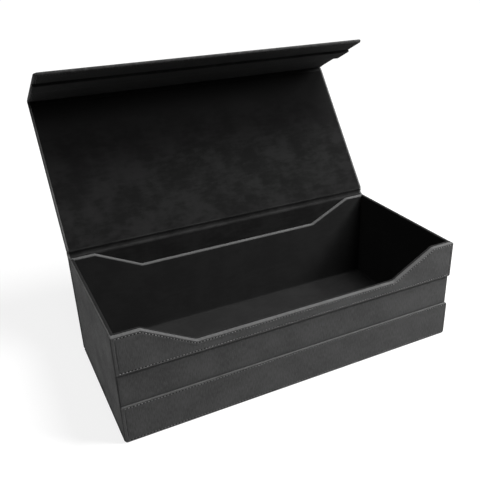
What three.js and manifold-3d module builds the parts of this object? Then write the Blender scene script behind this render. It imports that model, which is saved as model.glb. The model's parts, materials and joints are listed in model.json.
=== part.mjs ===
// Card storage box: an open tray in a wrap-around cover. The cover has a front lip, a
// base, a back, a lid and a magnetic flap, joined by soft folds.
// Millimetres, +X along the length, +Y towards the back, +Z up. The origin is the middle
// of the tray's footprint, on the surface the box stands on.
import * as THREE from 'three';
import { mergeVertices } from 'three/addons/utils/BufferGeometryUtils.js';
import Module from 'manifold-3d';

// Overall sizes
const boxLength = 340;
const trayDepth = 152;
const boxHeight = 104.5;

// Sheets
const leather = 0.7;
const board = 2;
const flapCore = 1;
const card = 0.8;
const lining = 0.5;
const bond = 0.3;

// Front bands
const lipHeight = 36.8;
const bandHeight = 36.8;

// Finger cut-outs in the front and rear walls, with the wall that each leaves at the
// box's ends, along its top and along its bottom
const cutTopMargin = 24.5;
const cutBottomMargin = 69.7;
const frontCutDepth = 25.2;
const rearCutDepth = 22.4;
const cutRound = 3;

// Cover panels and their folds
const sideOverhang = 0.5;
const lidClearance = 0.5;
const backSetback = 4;
const flapSetback = 6;
const lidOpenDegrees = 127;
const flapTuckDegrees = 12;
const flapReach = 94.6;
const flapCorner = 3;

// Magnet pad on the flap
const padStart = 42.5;
const padEnd = 66.5;
const padClearance = 0.7;
const magnetThickness = 2;
const magnetDiameter = 12;
const magnetPocketGap = 0.3;
const magnetInset = 50;
const magnetCount = 4;

// Modelling values
const overrun = 2;
const roundSteps = 4;
const foldSteps = 8;
const foldCurveShare = 0.45;
const magnetSides = 32;

// Sizes that follow
const halfLength = boxLength / 2;
const halfDepth = trayDepth / 2;
const halfCover = halfLength + sideOverhang;
const cutTop = halfLength - cutTopMargin;
const cutBottom = halfLength - cutBottomMargin;
const magnetPitch = 2 * (halfLength - magnetInset) / (magnetCount - 1);
const wall = leather + bond + board + bond + lining;
const flapWall = leather + bond + flapCore + bond + lining;
const bandThickness = leather + bond + card;
const skinGap = leather + bond;
const padProud = magnetThickness + bond;
const frontGap = padProud + padClearance;

const frontFace = -halfDepth;
const bandFace = frontFace - bond - bandThickness;
const backFace = halfDepth + bond;
const innerFront = frontFace + wall;
const innerRear = halfDepth - wall;
const innerSide = halfLength - wall;

const baseTop = skinGap + board;
const trayBottom = baseTop + bond;
const floorTop = trayBottom + board;
const wallTop = boxHeight - skinGap;
const bandBottom = boxHeight - bandHeight;

const hingeY = backFace + wall / 2;
const hingeZ = boxHeight + lidClearance + wall / 2;
const lidReach = hingeY - (bandFace - frontGap - wall / 2);
const padMiddle = (padStart + padEnd) / 2;
const lidTurn = THREE.MathUtils.degToRad(lidOpenDegrees);
const flapTurn = THREE.MathUtils.degToRad(flapTuckDegrees);
const rightAngle = Math.PI / 2;

// Finishes
const finish = (color, roughness, metalness = 0) =>
  new THREE.MeshStandardMaterial({ color, roughness, metalness });
const charcoalLeather = finish('#4b4b4d', 0.62);
const blackSuede = finish('#151515', 0.95);
const greyBoard = finish('#8f8a80', 0.9);
const nickel = finish('#b9b9bd', 0.3, 1);

// Solids
const wasm = await Module();
wasm.setup();

function toSolid(geometry) {
  const bare = geometry.clone();
  bare.deleteAttribute('normal');
  bare.deleteAttribute('uv');
  const merged = mergeVertices(bare);
  return new wasm.Manifold(new wasm.Mesh({
    numProp: 3,
    vertProperties: new Float32Array(merged.attributes.position.array),
    triVerts: new Uint32Array(merged.index.array),
  }));
}

function toGeometry(solid) {
  const mesh = solid.getMesh();
  const geometry = new THREE.BufferGeometry();
  geometry.setAttribute('position', new THREE.BufferAttribute(mesh.vertProperties, 3));
  geometry.setIndex(new THREE.BufferAttribute(mesh.triVerts, 1));
  geometry.computeVertexNormals();
  return geometry;
}

const subtract = (from, tool) => toGeometry(toSolid(from).subtract(toSolid(tool)));
const intersect = (one, other) => toGeometry(toSolid(one).intersect(toSolid(other)));

function prism(points, depth, start = 0) {
  const geometry = new THREE.ExtrudeGeometry(new THREE.Shape(points), {
    depth, bevelEnabled: false,
  });
  return geometry.translate(0, 0, start);
}

// Outlines
const point = (x, y) => new THREE.Vector2(x, y);
const rectangle = (left, right, low, high) => [
  point(left, low), point(right, low), point(right, high), point(left, high),
];

// Replaces one corner of an outline by an arc of the given radius.
function roundCorner(before, corner, after, radius) {
  if (radius <= 0) return [corner];
  const toBefore = before.clone().sub(corner).normalize();
  const toAfter = after.clone().sub(corner).normalize();
  const half = Math.acos(THREE.MathUtils.clamp(toBefore.dot(toAfter), -1, 1)) / 2;
  const centre = toBefore.clone().add(toAfter).normalize()
    .multiplyScalar(radius / Math.sin(half)).add(corner);
  const reach = radius / Math.tan(half);
  const first = corner.clone().addScaledVector(toBefore, reach).sub(centre);
  const last = corner.clone().addScaledVector(toAfter, reach).sub(centre);
  const turn = Math.atan2(first.cross(last), first.dot(last));
  const points = [];
  for (let i = 0; i <= roundSteps; i += 1) {
    points.push(first.clone().rotateAround(point(0, 0), (turn * i) / roundSteps).add(centre));
  }
  return points;
}

// The top edge of a wall with a finger cut-out, left to right, moved in by drop.
function cutEdge(halfWidth, cutDepth, drop) {
  const slope = Math.atan2(cutDepth, cutTop - cutBottom);
  const spread = drop * Math.tan(slope / 2);
  const topX = cutTop + spread;
  const lowX = cutBottom + spread;
  const topZ = boxHeight - drop;
  const lowZ = topZ - cutDepth;
  const corners = [
    point(-halfWidth, topZ), point(-topX, topZ), point(-lowX, lowZ),
    point(lowX, lowZ), point(topX, topZ), point(halfWidth, topZ),
  ];
  const radii = [0, cutRound - drop, cutRound + drop, cutRound + drop, cutRound - drop, 0];
  return corners.flatMap((corner, i) => (radii[i] === 0
    ? [corner] : roundCorner(corners[i - 1], corner, corners[i + 1], radii[i])));
}

const cutWall = (halfWidth, low, cutDepth, drop) => [
  point(-halfWidth, low), point(halfWidth, low),
  ...cutEdge(halfWidth, cutDepth, drop).reverse(),
];

const cutRim = (halfWidth, cutDepth) => [
  ...cutEdge(halfWidth, cutDepth, leather),
  ...cutEdge(halfWidth, cutDepth, 0).reverse(),
];

// A cover panel, from its fold side to its far side, with two rounded far corners.
function panelOutline(halfWidth, near, far, radius) {
  const corners = rectangle(-halfWidth, halfWidth, near, far);
  return [
    corners[0], corners[1],
    ...roundCorner(corners[1], corners[2], corners[3], radius),
    ...roundCorner(corners[2], corners[3], corners[0], radius),
  ];
}

// A bent strip across a fold at (0, 0) that joins two panels. Each panel is given by its
// direction away from the fold and starts at the setback; side is the strip's distance
// from the first panel's middle, positive on the outer faces, and endSide is its distance
// where it reaches the second panel.
function foldStrip(first, second, setback, side, thickness, endSide = side) {
  const edge = setback - bond;
  const start = first.clone().multiplyScalar(edge)
    .add(point(-first.y, first.x).multiplyScalar(side));
  const end = second.clone().multiplyScalar(edge)
    .add(point(-second.y, second.x).multiplyScalar(-endSide));
  const pull = start.distanceTo(end) * foldCurveShare;
  const curve = new THREE.CubicBezierCurve(start, start.clone().addScaledVector(first, -pull),
    end.clone().addScaledVector(second, -pull), end);
  const left = [];
  const right = [];
  for (let i = 0; i <= foldSteps; i += 1) {
    const at = curve.getPoint(i / foldSteps);
    const along = curve.getTangent(i / foldSteps);
    const normal = point(-along.y, along.x).multiplyScalar(thickness / 2);
    left.push(at.clone().add(normal));
    right.push(at.clone().sub(normal));
  }
  return [...left, ...right.reverse()];
}

// Pieces
function add(group, name, geometry, material, x = 0, y = 0, z = 0) {
  const mesh = new THREE.Mesh(geometry, material);
  mesh.name = name;
  mesh.position.set(x, y, z);
  group.add(mesh);
  return mesh;
}

function slab(group, name, x, y, z, material) {
  const geometry = new THREE.BoxGeometry(x[1] - x[0], y[1] - y[0], z[1] - z[0]);
  add(group, name, geometry, material,
    (x[0] + x[1]) / 2, (y[0] + y[1]) / 2, (z[0] + z[1]) / 2);
}

// An outline drawn in X and Z that stands upright, from y = near to y = near + thickness.
function upright(points, thickness) {
  return prism(points, thickness).rotateX(rightAngle).translate(0, thickness, 0);
}

// A section drawn in Y and Z, swept along X.
function swept(points, halfWidth) {
  return prism(points, 2 * halfWidth, -halfWidth).rotateY(rightAngle).rotateX(rightAngle);
}

const span = (middle, half) => [middle - half, middle + half];
const between = (half) => span(0, half);
const rowPlace = (i) => (i - (magnetCount - 1) / 2) * magnetPitch;

const magnetDisc = () => new THREE.CylinderGeometry(
  magnetDiameter / 2, magnetDiameter / 2, magnetThickness, magnetSides);

// Bores a row of magnet pockets through a board that stands upright.
function borePockets(geometry, thickness, z) {
  let result = toSolid(geometry);
  for (let i = 0; i < magnetCount; i += 1) {
    const pocket = new THREE.CylinderGeometry(
      magnetDiameter / 2 + magnetPocketGap, magnetDiameter / 2 + magnetPocketGap,
      thickness + 2 * overrun, magnetSides);
    result = result.subtract(toSolid(pocket.translate(rowPlace(i), thickness / 2, z)));
  }
  return toGeometry(result);
}

const box = new THREE.Group();

// Cover base
slab(box, 'base_leather', between(halfCover), between(halfDepth), [0, leather], charcoalLeather);
slab(box, 'base_board', between(halfLength - skinGap), between(halfDepth - skinGap),
  [skinGap, baseTop], greyBoard);

// Front lip: a low band that stands in front of the tray
const lipShell = subtract(
  upright(rectangle(-halfCover, halfCover, 0, lipHeight), bandThickness),
  upright(rectangle(-halfCover + leather, halfCover - leather, leather, lipHeight - leather),
    bandThickness).translate(0, leather, 0));
add(box, 'lip_leather', lipShell, charcoalLeather, 0, bandFace, 0);
slab(box, 'lip_card', between(halfCover - skinGap), [bandFace + skinGap, bandFace + bandThickness],
  [skinGap, lipHeight - skinGap], greyBoard);

// Tray floor
slab(box, 'floor_board', between(halfLength - skinGap - board - bond),
  between(halfDepth - skinGap - board - bond), [trayBottom, floorTop], greyBoard);
slab(box, 'floor_lining', between(innerSide - bond), between(innerRear - bond),
  [floorTop + bond, floorTop + bond + lining], blackSuede);

// Tray side walls
for (const [name, side] of [['left', -1], ['right', 1]]) {
  const layer = (outer, inner) => (side < 0
    ? [-halfLength + outer, -halfLength + inner] : [halfLength - inner, halfLength - outer]);
  slab(box, `${name}_leather`, layer(0, leather), between(halfDepth), [skinGap, wallTop],
    charcoalLeather);
  slab(box, `${name}_board`, layer(skinGap, skinGap + board), between(halfDepth - skinGap),
    [trayBottom, wallTop], greyBoard);
  slab(box, `${name}_lining`, layer(wall - lining, wall), between(innerRear - bond),
    [floorTop + bond, wallTop], blackSuede);
  slab(box, `${name}_rim`, layer(0, wall), between(innerRear - bond),
    [boxHeight - leather, boxHeight], charcoalLeather);
}

// Tray front wall, with the proud upper band on it
const endGap = halfLength - skinGap;
const boardEnd = endGap - board - bond;
add(box, 'front_leather', upright(cutWall(endGap, skinGap, frontCutDepth, skinGap), leather),
  charcoalLeather, 0, frontFace, 0);
const magnetZ = hingeZ - padMiddle;
add(box, 'front_board', borePockets(
  upright(cutWall(boardEnd, trayBottom, frontCutDepth, skinGap), board), board, magnetZ),
greyBoard, 0, frontFace + skinGap, 0);
add(box, 'front_lining', upright(
  cutWall(boardEnd, floorTop + bond, frontCutDepth, skinGap), lining),
blackSuede, 0, innerFront - lining, 0);
for (let i = 0; i < magnetCount; i += 1) {
  add(box, `wall_magnet_${i + 1}`, magnetDisc(), nickel,
    rowPlace(i), frontFace + skinGap + board / 2, magnetZ);
}
const bandShell = subtract(
  upright(cutWall(halfLength, bandBottom, frontCutDepth, skinGap), bandThickness),
  upright(rectangle(-halfLength + leather, halfLength - leather,
    bandBottom + leather, boxHeight + overrun), bandThickness).translate(0, leather, 0));
add(box, 'band_leather', bandShell, charcoalLeather, 0, bandFace, 0);
add(box, 'band_card', upright(
  cutWall(endGap, bandBottom + skinGap, frontCutDepth, skinGap), card),
greyBoard, 0, bandFace + skinGap, 0);
add(box, 'front_rim', upright(cutRim(halfLength, frontCutDepth), innerFront - bandFace),
  charcoalLeather, 0, bandFace, 0);

// Tray rear wall
add(box, 'rear_leather', upright(cutWall(endGap, skinGap, rearCutDepth, skinGap), leather),
  charcoalLeather, 0, halfDepth - leather, 0);
add(box, 'rear_board', upright(cutWall(boardEnd, trayBottom, rearCutDepth, skinGap), board),
  greyBoard, 0, halfDepth - skinGap - board, 0);
add(box, 'rear_lining', upright(
  cutWall(boardEnd, floorTop + bond, rearCutDepth, skinGap), lining),
blackSuede, 0, innerRear, 0);
add(box, 'rear_rim', upright(cutRim(halfLength, rearCutDepth), wall),
  charcoalLeather, 0, innerRear, 0);

// A cover panel is drawn in X and its distance from the fold, and its layers are stacked
// from the outer face inwards: a leather skin turned round the free edges, board, lining.
function coverPanel(group, name, core, near, far, farTurned, radius) {
  const thick = skinGap + core + bond + lining;
  const farIn = far - (farTurned ? leather : -overrun);
  const skin = subtract(
    prism(panelOutline(halfCover, near, far, radius), thick),
    prism(panelOutline(halfCover - leather, near - overrun, farIn, radius - leather),
      thick, leather));
  add(group, `${name}_leather`, skin, charcoalLeather);
  const inside = panelOutline(halfCover - skinGap, near,
    far - (farTurned ? skinGap : 0), radius - skinGap);
  add(group, `${name}_board`, prism(inside, core, skinGap), greyBoard);
  return inside;
}

// Cover back
const back = new THREE.Group();
back.position.set(0, hingeY + wall / 2, hingeZ);
back.rotation.set(rightAngle, 0, Math.PI);
box.add(back);
const backInside = coverPanel(back, 'back', board, backSetback, hingeZ, true, 0);
add(back, 'back_lining', prism(backInside, lining, wall - lining), blackSuede);

// Fold between back and lid
const foldDirection = (radians) => point(Math.cos(radians), Math.sin(radians));
const skinSide = (wall - leather) / 2;
const liningSide = (wall - lining) / 2;
const backDown = foldDirection(-rightAngle);
const lidUp = foldDirection(Math.PI - lidTurn);
add(box, 'back_fold_leather', swept(
  foldStrip(backDown, lidUp, backSetback, skinSide, leather), halfCover),
charcoalLeather, 0, hingeY, hingeZ);
add(box, 'back_fold_lining', swept(
  foldStrip(backDown, lidUp, backSetback, -liningSide, lining), halfCover - skinGap),
blackSuede, 0, hingeY, hingeZ);

// Lid, turned about its fold
const lid = new THREE.Group();
lid.position.set(0, hingeY, hingeZ);
lid.rotation.x = -lidTurn;
box.add(lid);
const lidPanel = new THREE.Group();
lidPanel.position.z = wall / 2;
lidPanel.rotation.x = Math.PI;
lid.add(lidPanel);
const lidInside = coverPanel(lidPanel, 'lid', board, backSetback,
  lidReach - flapSetback, false, 0);
add(lidPanel, 'lid_lining', prism(lidInside, lining, wall - lining), blackSuede);

// Fold between lid and flap
const frontFold = new THREE.Group();
frontFold.position.y = -lidReach;
lid.add(frontFold);
const lidBack = foldDirection(0);
const flapDown = foldDirection(-rightAngle + flapTurn);
add(frontFold, 'flap_fold_leather', swept(
  foldStrip(lidBack, flapDown, flapSetback, skinSide, leather), halfCover), charcoalLeather);
const flapLiningSide = flapWall - (wall + lining) / 2;
add(frontFold, 'flap_fold_lining', swept(
  foldStrip(lidBack, flapDown, flapSetback, -liningSide, lining, -flapLiningSide),
  halfCover - skinGap), blackSuede);

// Flap, tucked in past square, with the magnet pad on its inner side
const flap = new THREE.Group();
flap.rotation.x = flapTurn;
frontFold.add(flap);
const flapPanel = new THREE.Group();
flapPanel.position.y = -wall / 2;
flapPanel.rotation.x = -rightAngle;
flap.add(flapPanel);
const flapInside = coverPanel(flapPanel, 'flap', flapCore, flapSetback, flapReach, true,
  flapCorner);
const padBoardStart = padStart + lining + bond;
const padBoardEnd = padEnd - lining - bond;
const padLow = flapWall - lining;
const padHalf = halfCover - skinGap;
let padBoard = toSolid(prism(rectangle(-padHalf, padHalf, padBoardStart, padBoardEnd),
  magnetThickness, padLow));
for (let i = 0; i < magnetCount; i += 1) {
  const pocket = new THREE.CylinderGeometry(
    magnetDiameter / 2 + magnetPocketGap, magnetDiameter / 2 + magnetPocketGap,
    magnetThickness + 2 * overrun, magnetSides);
  pocket.rotateX(rightAngle).translate(rowPlace(i), padMiddle, padLow + magnetThickness / 2);
  padBoard = padBoard.subtract(toSolid(pocket));
}
add(flapPanel, 'pad_board', toGeometry(padBoard), greyBoard);
for (let i = 0; i < magnetCount; i += 1) {
  add(flapPanel, `flap_magnet_${i + 1}`, magnetDisc().rotateX(rightAngle), nickel,
    rowPlace(i), padMiddle, padLow + magnetThickness / 2);
}

// The flap's lining runs over the pad as one raised band.
const flapEnd = flapReach - skinGap;
const padTop = flapWall + padProud;
const hat = [
  point(flapSetback, padLow), point(padStart + lining, padLow),
  point(padStart + lining, padTop - lining), point(padEnd - lining, padTop - lining),
  point(padEnd - lining, padLow), point(flapEnd, padLow),
  point(flapEnd, flapWall), point(padEnd, flapWall), point(padEnd, padTop),
  point(padStart, padTop), point(padStart, flapWall), point(flapSetback, flapWall),
];
const flapLining = intersect(swept(hat, padHalf), prism(flapInside, padTop + overrun));
add(flapPanel, 'flap_lining', flapLining, blackSuede);

export default box;
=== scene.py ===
"""Card storage box: a leather covered tray with finger cut-outs in a wrap-around cover.

The cover has a front lip, a base, a back, a lid and a magnetic flap. Shapes are worked
out in millimetres. The meshes, the add-on's sizes, the stitch marks, the finishes and
names that end in _M are in metres.
"""

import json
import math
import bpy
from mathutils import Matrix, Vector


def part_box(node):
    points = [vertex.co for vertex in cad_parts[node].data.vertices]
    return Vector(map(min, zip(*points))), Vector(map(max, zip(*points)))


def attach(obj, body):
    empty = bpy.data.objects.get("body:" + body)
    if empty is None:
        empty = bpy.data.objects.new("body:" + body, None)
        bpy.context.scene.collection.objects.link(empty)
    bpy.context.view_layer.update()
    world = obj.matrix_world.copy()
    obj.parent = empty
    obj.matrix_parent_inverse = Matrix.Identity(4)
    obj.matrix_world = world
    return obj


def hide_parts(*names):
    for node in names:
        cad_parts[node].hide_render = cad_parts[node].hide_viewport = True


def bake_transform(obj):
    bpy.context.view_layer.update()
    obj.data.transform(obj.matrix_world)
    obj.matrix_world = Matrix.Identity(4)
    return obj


bl_info = {
    "name": "Card Storage Box",
    "version": (1, 0, 0),
    "blender": (4, 5, 0),
    "location": "3D View > Sidebar > Card Box",
    "description": "Builds a leather covered card storage box with a magnetic flap lid",
    "category": "Add Mesh",
}

import bmesh
import bpy
from mathutils import Euler, Vector, noise

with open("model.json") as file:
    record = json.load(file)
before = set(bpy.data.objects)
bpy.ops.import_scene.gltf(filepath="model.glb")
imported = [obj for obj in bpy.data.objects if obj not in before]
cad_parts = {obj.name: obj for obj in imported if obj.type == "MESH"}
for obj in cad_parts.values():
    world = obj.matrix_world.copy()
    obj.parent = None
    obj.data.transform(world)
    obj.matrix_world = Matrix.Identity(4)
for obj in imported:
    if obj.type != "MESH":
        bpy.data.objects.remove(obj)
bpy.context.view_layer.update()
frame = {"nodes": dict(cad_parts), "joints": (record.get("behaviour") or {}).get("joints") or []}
MM = 0.001
LEATHER_SLOT = "charcoal_leather"
SUEDE_SLOT = "black_suede"

def box_mm(node):
    """The lowest and highest corners of a CAD node, in millimetres."""
    low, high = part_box(node)
    return low / MM, high / MM

def joint_mm(name):
    """A joint's place in the Y and Z plane, in millimetres."""
    joint = next(joint for joint in frame["joints"] if joint["name"] == name)
    return Vector((joint["pos_m"][1], joint["pos_m"][2])) / MM

def turned(vector, radians):
    """A vector of the Y and Z plane turned from Y towards Z."""
    cos, sin = math.cos(radians), math.sin(radians)
    return Vector((vector.x * cos - vector.y * sin, vector.x * sin + vector.y * cos))

# Places and sizes read from the frame

TRAY_LOW, TRAY_HIGH = box_mm("left_leather")
RIM_LOW, RIM_HIGH = box_mm("front_rim")
REAR_RIM_LOW, REAR_RIM_HIGH = box_mm("rear_rim")
BAND_LOW, BAND_HIGH = box_mm("band_leather")
LIP_LOW, LIP_HIGH = box_mm("lip_leather")
BASE_LOW, BASE_HIGH = box_mm("base_leather")
FLOOR_TOP = box_mm("floor_lining")[1].z
HINGE = joint_mm("lid_hinge")
FLAP_AXIS = joint_mm("flap_hinge")

LEATHER = 0.7
LINING = 0.5
SLACK = 0.05  # how far a skin's hidden edge stands off the solid that it replaces
HALF_LENGTH = -TRAY_LOW.x
HALF_DEPTH = TRAY_HIGH.y
BOX_TOP = RIM_HIGH.z
WALL = REAR_RIM_HIGH.y - REAR_RIM_LOW.y
FRONT_CUT = RIM_HIGH.z - RIM_LOW.z - LEATHER
REAR_CUT = REAR_RIM_HIGH.z - REAR_RIM_LOW.z - LEATHER
CUT_TOP = HALF_LENGTH - 24.5
CUT_BOTTOM = HALF_LENGTH - 69.7
CUT_ROUND = 3.0

# The cover: each panel has a way along it and a way out of its outer face

HALF_COVER = LIP_HIGH.x
COVER_REACH = WALL - SLACK
BACK_UP, BACK_OUT = Vector((0, 1)), Vector((1, 0))
BACK_SETBACK = 4.0
LID_UP = (FLAP_AXIS - HINGE).normalized()
LID_OUT = Vector((LID_UP.y, -LID_UP.x))
LID_REACH = (FLAP_AXIS - HINGE).length
FLAP_TURN = math.radians(90) - math.radians(12)
FLAP_WAY = turned(-LID_UP, -FLAP_TURN)
FLAP_OUT = turned(LID_OUT, math.radians(180) - FLAP_TURN)
FLAP_SETBACK = 6.0
FLAP_REACH = 94.6
FLAP_WALL = WALL - 1.0
FLAP_SEAM = 3.0
PAD_START, PAD_END = 42.5, 66.5
PAD_PROUD = 2.3
PAD_ROUND = 0.9
COVER_HEM = 2.2

# Mesh building

def spread(first, last, count):
    """Evenly spaced values from first to last, both included."""
    return [first + (last - first) * i / count for i in range(count + 1)]

def smooth(value):
    """0 below 0, 1 above 1, and a soft rise between them."""
    value = min(max(value, 0.0), 1.0)
    return value * value * (3 - 2 * value)

def quarter(radius, steps):
    """Inset and depth pairs down a rounded edge, from the face to the side."""
    angles = [math.radians(90) * i / steps for i in range(steps + 1)]
    return [(radius * (1 - math.sin(angle)), radius * (1 - math.cos(angle)))
            for angle in angles]

def wander(u, v, scale, seed):
    """The slow hand-made unevenness of glued sheets, from -1 to 1."""
    return noise.noise(Vector((u / scale, v / scale, seed)))

def crease(distance, width, depth):
    """How far a pressed line lowers the surface at a distance from its middle."""
    return depth * math.exp(-(distance / width) ** 2)

def path_lengths(points):
    """The way travelled at each point of a path."""
    lengths = [0.0]
    for one, other in zip(points, points[1:]):
        lengths.append(lengths[-1] + (other - one).length)
    return lengths

class Sheet:
    """A surface under construction: points with pattern coordinates, and faces.

    A point's edge value is 1 on a face and less on a turned edge, where the leather finishes add
    wear and a painted highlight, and painted shade on the flap."""

    def __init__(self):
        self.points, self.uvs, self.edges, self.faces = [], [], [], []

    def add(self, point, uv, edge=1.0):
        self.points.append(Vector(point))
        self.uvs.append(uv)
        self.edges.append(edge)
        return len(self.points) - 1

    def join(self, one, other, closed=False):
        """Faces between two rows of point numbers."""
        count = len(one)
        for j in range(count if closed else count - 1):
            k = (j + 1) % count
            self.faces.append((one[j], one[k], other[k], other[j]))

    def grid(self, rows, closed=False):
        for one, other in zip(rows, rows[1:]):
            self.join(one, other, closed)

    def turn_over(self):
        self.faces = [face[::-1] for face in self.faces]

def new_object(name, data):
    """A new object in the scene, in place of one of an earlier run."""
    old = bpy.data.objects.get(name)
    if old:
        bpy.data.objects.remove(old)
    made = bpy.data.objects.new(name, data)
    bpy.context.scene.collection.objects.link(made)
    return made

def make_plain(piece):
    """Puts the result of a piece's modifiers in its mesh."""
    bpy.context.view_layer.update()
    source = piece.data
    final = bpy.data.meshes.new_from_object(
        piece.evaluated_get(bpy.context.evaluated_depsgraph_get()))
    piece.modifiers.clear()
    piece.data = final
    bpy.data.meshes.remove(source)
    final.name = piece.name

def finish_piece(piece, body, finish, slot, nodes=()):
    """Gives a piece its finish and its body, and hides the CAD nodes that it stands for."""
    piece.data.materials.clear()
    piece.data.materials.append(finish)
    if nodes:
        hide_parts(*nodes)
    if body:
        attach(piece, body)
    return piece

def build_piece(name, sheet, thickness, body, finish, slot, nodes=(), weld=0.004,
                sharp_degrees=48):
    """A closed thin piece from an open sheet: welded, and thickened inwards."""
    work = bmesh.new()
    uv_layer = work.loops.layers.uv.new("Surface")
    edge_layer = work.verts.layers.float.new("edge")
    for point, edge in zip(sheet.points, sheet.edges):
        work.verts.new(point * MM)[edge_layer] = edge
    work.verts.ensure_lookup_table()
    for face in sheet.faces:
        made = work.faces.new([work.verts[i] for i in face])
        made.smooth = True
        for loop, i in zip(made.loops, face):
            loop[uv_layer].uv = (sheet.uvs[i][0] * MM, sheet.uvs[i][1] * MM)
    bmesh.ops.remove_doubles(work, verts=work.verts, dist=weld * MM)
    bmesh.ops.dissolve_degenerate(work, edges=work.edges, dist=weld * MM / 4)
    loose = [vertex for vertex in work.verts if not vertex.link_faces]
    bmesh.ops.delete(work, geom=loose, context="VERTS")
    mesh = bpy.data.meshes.new(name)
    work.to_mesh(mesh)
    work.free()
    piece = new_object(name, mesh)
    if thickness:
        solid = piece.modifiers.new("Thickness", "SOLIDIFY")
        solid.thickness = thickness * MM
        solid.offset = -1.0
        solid.use_even_offset = True
        solid.use_quality_normals = True
        make_plain(piece)
    piece.data.set_sharp_from_angle(angle=math.radians(sharp_degrees))
    return finish_piece(piece, body, finish, slot, nodes)

# Tray

TRAY_CORNER = 1.4
CORNER_STEPS = 4
LINE_STEPS = (8, 12, 56, 12, 8)  # along a wall's top: end, slope, cut, slope, end
ARC_STEPS = 4
SIDE_STEPS = 60
WALL_STEPS = 26
FRONT_STEP = 1.3  # how far the tray's own skin stays below the front rim
FRONT_STEP_END = 3.3
PRESSED_AT = 3.1  # distance of a band's pressed line from its end

def corner_arc(x, y, radius, start_degrees):
    """Points round an outline's corner, without the arc's two ends."""
    angles = [math.radians(start_degrees + 90 * k / CORNER_STEPS)
              for k in range(1, CORNER_STEPS)]
    return [(x + radius * math.cos(angle), y + radius * math.sin(angle))
            for angle in angles]

def round_corner(before, corner, after, radius):
    """Points of an arc in place of a corner; the same count for every radius."""
    if radius <= 0:
        return [corner.copy() for _ in range(ARC_STEPS + 1)]
    one = (before - corner).normalized()
    two = (after - corner).normalized()
    half = math.acos(max(-1.0, min(1.0, one.dot(two)))) / 2
    centre = corner + (one + two).normalized() * (radius / math.sin(half))
    reach = radius / math.tan(half)
    first = corner + one * reach - centre
    last = corner + two * reach - centre
    turn = math.atan2(first.x * last.y - first.y * last.x, first.dot(last))
    return [centre + turned(first, turn * i / ARC_STEPS) for i in range(ARC_STEPS + 1)]

def cut_line(half, depth, drop):
    """The top edge of a wall with a finger cut-out, left to right, moved in by drop."""
    lean = math.atan2(depth, CUT_TOP - CUT_BOTTOM)
    shift = drop * math.tan(lean / 2)
    top_x, low_x = CUT_TOP + shift, CUT_BOTTOM + shift
    top, low = BOX_TOP - drop, BOX_TOP - drop - depth
    corners = [Vector(pair) for pair in (
        (-half, top), (-top_x, top), (-low_x, low), (low_x, low), (top_x, top),
        (half, top))]
    radii = (CUT_ROUND - drop, CUT_ROUND + drop, CUT_ROUND + drop, CUT_ROUND - drop)
    arcs = [round_corner(*corners[i:i + 3], radius) for i, radius in enumerate(radii)]
    starts = [corners[0]] + [arc[-1] for arc in arcs]
    ends = [arc[0] for arc in arcs] + [corners[-1]]
    points = [corners[0]]
    for start, end, count, arc in zip(starts, ends, LINE_STEPS, arcs + [[]]):
        points += [start.lerp(end, k / count) for k in range(1, count + 1)] + arc[1:]
    return points

FLAT_X = [point.x for point in cut_line(HALF_LENGTH, FRONT_CUT, 1.0)]
FLAT_COLUMNS = [x / HALF_LENGTH for x in FLAT_X]
EVEN_COLUMNS = spread(-1, 1, 72)

def tray_ring(inset, drop, level=None, share=0.0, front_step=0.0):
    """A closed ring of points round the tray, moved in by inset and down by drop.

    level and share blend the ring's height towards a level line."""
    keep = max(inset, TRAY_CORNER)
    radius = max(TRAY_CORNER - inset, 0.0)
    half_x, half_y = HALF_LENGTH - keep, HALF_DEPTH - keep
    top = BOX_TOP - drop
    ring = []

    def add(x, y, z):
        ring.append(Vector((x, y, z if level is None else z + (level - z) * share)))

    def wall(sign, depth, step):
        pairs = [(point, x * half_x / HALF_LENGTH)
                 for point, x in zip(cut_line(half_x, depth, drop + step), FLAT_X)]
        for point, x in pairs[::-sign]:
            add(point.x + (x - point.x) * share, sign * (HALF_DEPTH - inset), point.y)

    def corner(x_sign, y_sign, start_degrees, step):
        for x, y in corner_arc(x_sign * half_x, y_sign * half_y, radius, start_degrees):
            add(x, y, top - step)

    def side(sign):
        start, end = -sign * half_y, sign * half_y
        for along in spread(0, 1, SIDE_STEPS):
            y = start + (end - start) * (along - math.sin(math.tau * along) / 16)
            step = front_step if y < -HALF_DEPTH + FRONT_STEP_END else 0
            add(sign * (HALF_LENGTH - inset), y, top - step)

    wall(-1, FRONT_CUT, front_step)
    corner(1, -1, -90, front_step)
    side(1)
    corner(1, 1, 0, 0)
    wall(1, REAR_CUT, 0)
    corner(-1, 1, 90, 0)
    side(-1)
    corner(-1, -1, 180, front_step)
    return ring

def ring_uvs(ring):
    """Pattern coordinates of a ring: the way round it, and the height."""
    around = [0.0]
    for one, other in zip(ring, ring[1:]):
        around.append(around[-1] + math.hypot(other.x - one.x, other.y - one.y))
    return [(u, point.z) for u, point in zip(around, ring)]

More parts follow.
